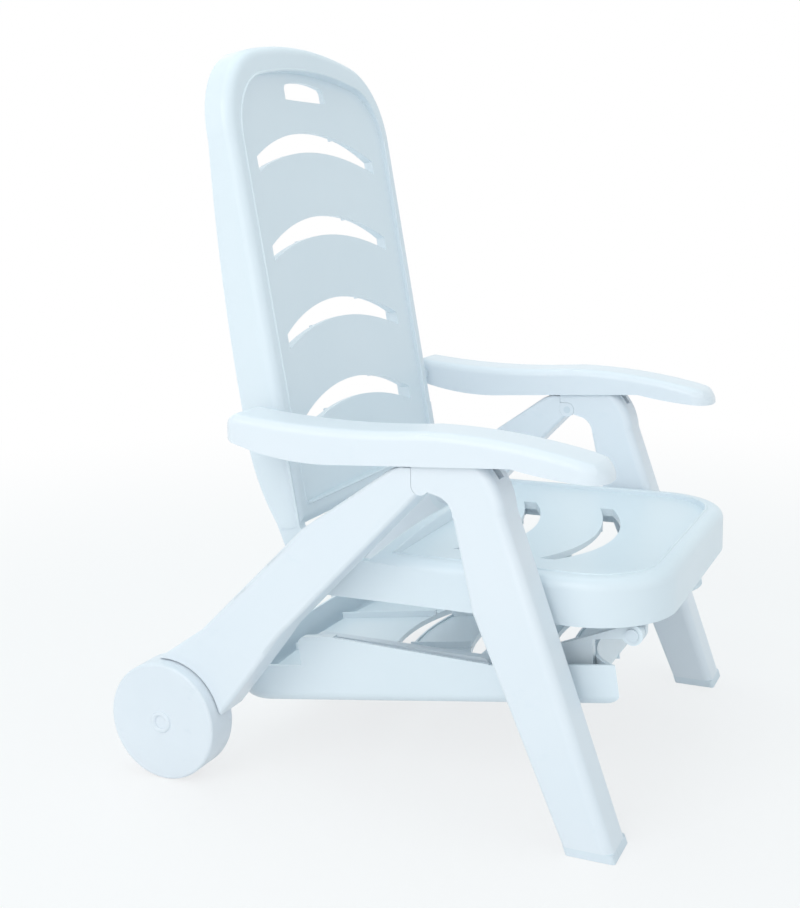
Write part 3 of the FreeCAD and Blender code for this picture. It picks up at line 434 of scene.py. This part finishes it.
def seenShare(tree):
    # 1 for what the camera, a reflection or glass sees, 0 for the light that falls on the chair
    paths = addNode(tree, "ShaderNodeLightPath")
    share = paths.outputs["Is Camera Ray"]
    for kind in ("Is Glossy Ray", "Is Transmission Ray"):
        either = addNode(tree, "ShaderNodeMath", operation="MAXIMUM")
        tree.links.new(share, either.inputs[0])
        tree.links.new(paths.outputs[kind], either.inputs[1])
        share = either.outputs[0]
    return share


paleFloor = {
    "size": 60.0,
    "drop": 0.0005,          # under the feet
    "colour": (0.86, 0.87, 0.88),
    "white": 0.72,           # share of plain white near the chair, the rest takes the shadow
    "fade": (0.75, 2.6),     # metres from the middle, where the floor goes over to white
}


def floorFinish():
    material = bpy.data.materials.new("paleFloor")
    material.use_nodes = True
    tree = material.node_tree
    tree.nodes.clear()
    link = tree.links.new
    place = addNode(tree, "ShaderNodeTexCoord")
    reach = addNode(tree, "ShaderNodeVectorMath", operation="LENGTH")
    link(place.outputs["Object"], reach.inputs[0])
    near, far = paleFloor["fade"]
    fade = addNode(tree, "ShaderNodeMapRange", From_Min=near, From_Max=far, To_Min=paleFloor["white"], To_Max=1.0,
                   interpolation_type="SMOOTHSTEP")
    link(reach.outputs["Value"], fade.inputs["Value"])
    share = addNode(tree, "ShaderNodeMath", operation="MULTIPLY")
    link(seenShare(tree), share.inputs[0])
    link(fade.outputs["Result"], share.inputs[1])
    diffuse = addNode(tree, "ShaderNodeBsdfDiffuse", Color=(*paleFloor["colour"], 1.0))
    glow = addNode(tree, "ShaderNodeEmission", Color=(1.0, 1.0, 1.0, 1.0), Strength=1.0)
    both = addNode(tree, "ShaderNodeMixShader")
    out = addNode(tree, "ShaderNodeOutputMaterial")
    link(share.outputs[0], both.inputs["Fac"])
    link(diffuse.outputs["BSDF"], both.inputs[1])
    link(glow.outputs["Emission"], both.inputs[2])
    link(both.outputs["Shader"], out.inputs["Surface"])
    return material


def makeFloor():
    bpy.ops.object.select_all(action="DESELECT")
    bpy.ops.mesh.primitive_plane_add(size=paleFloor["size"], location=(0.0, 0.0, -paleFloor["drop"]))
    floor = bpy.context.object
    floor.name = "studioFloor"
    bpy.ops.object.transform_apply(location=True)
    floor.data.materials.append(floorFinish())


sky = {
    "strength": 0.66,
    "horizon": (0.99, 0.99, 1.0),
    "zenith": (0.76, 0.93, 0.98),
    "top": 0.9,              # height at which the zenith's colour is full
}


def makeWorld():
    world = bpy.data.worlds.new("studioWorld")
    bpy.context.scene.world = world
    world.use_nodes = True
    tree = world.node_tree
    tree.nodes.clear()
    link = tree.links.new
    place = addNode(tree, "ShaderNodeTexCoord")
    split = addNode(tree, "ShaderNodeSeparateXYZ")
    link(place.outputs["Generated"], split.inputs["Vector"])
    rise = addNode(tree, "ShaderNodeMapRange", From_Min=0.0, From_Max=sky["top"], interpolation_type="SMOOTHSTEP")
    link(split.outputs["Z"], rise.inputs["Value"])
    colour = addNode(tree, "ShaderNodeMix", data_type="RGBA")
    colour.inputs[mixSockets["first"]].default_value = (*sky["horizon"], 1.0)
    colour.inputs[mixSockets["second"]].default_value = (*sky["zenith"], 1.0)
    link(rise.outputs["Result"], colour.inputs["Factor"])
    fill = addNode(tree, "ShaderNodeBackground", Strength=sky["strength"])
    link(colour.outputs[mixSockets["result"]], fill.inputs["Color"])
    white = addNode(tree, "ShaderNodeBackground", Color=(1.0, 1.0, 1.0, 1.0), Strength=1.0)
    both = addNode(tree, "ShaderNodeMixShader")
    out = addNode(tree, "ShaderNodeOutputWorld")
    link(seenShare(tree), both.inputs["Fac"])
    link(fill.outputs["Background"], both.inputs[1])
    link(white.outputs["Background"], both.inputs[2])
    link(both.outputs["Shader"], out.inputs["Surface"])


lamps = {
    # place, aim, size in metres, watts, colour
    "keySoftbox": ((-0.6, -2.9, 2.3), (0.0, 0.0, 0.45), 2.4, 33.0, (1.0, 0.985, 0.965)),
    "frontFill": ((3.0, -0.5, 1.7), (0.0, 0.0, 0.45), 2.2, 7.5, (0.95, 0.98, 1.0)),
    "skyPanel": ((-0.4, 0.4, 3.4), (0.0, 0.0, 0.4), 2.8, 20.0, (0.84, 0.97, 1.0)),
    "lowFill": ((0.9, -2.9, 0.5), (0.1, 0.0, 0.3), 1.6, 8.5, (1.0, 0.98, 0.975)),
    "backEdge": ((-2.8, 1.6, 1.8), (0.0, 0.0, 0.5), 1.8, 10.0, (0.97, 0.99, 1.0)),
}


def makeLamps():
    for name, (place, aim, size, power, colour) in lamps.items():
        data = bpy.data.lights.new(name, "AREA")
        data.size = size
        data.energy = power
        data.color = colour
        lamp = bpy.data.objects.new(name, data)
        bpy.context.collection.objects.link(lamp)
        lamp.location = place
        lamp.rotation_euler = (Vector(aim) - Vector(place)).to_track_quat("-Z", "Y").to_euler()


photoView = {
    "place": (0.6794, -1.6274, 0.7554),
    "turn": 24.54,           # degrees about the upright axis
    "dip": 8.53,             # degrees below level
    "roll": -0.8,
    "lens": 49.96,
    "sensor": 36.0,
    "shift": (-0.0107, -0.0730),
}


def makeCamera():
    data = bpy.data.cameras.new("photoCamera")
    camera = bpy.data.objects.new("photoCamera", data)
    bpy.context.collection.objects.link(camera)
    data.lens = photoView["lens"]
    data.sensor_width = photoView["sensor"]
    data.shift_x, data.shift_y = photoView["shift"]
    turn = Matrix.Rotation(math.radians(photoView["turn"]), 4, "Z")
    tip = Matrix.Rotation(math.radians(90.0 - photoView["dip"]), 4, "X")
    roll = Matrix.Rotation(math.radians(photoView["roll"]), 4, "Z")
    camera.matrix_world = Matrix.Translation(photoView["place"]) @ turn @ tip @ roll
    bpy.context.scene.camera = camera


makeFloor()
makeWorld()
makeLamps()
makeCamera()
bpy.context.scene.view_settings.view_transform = "Standard"
print("studio ready")
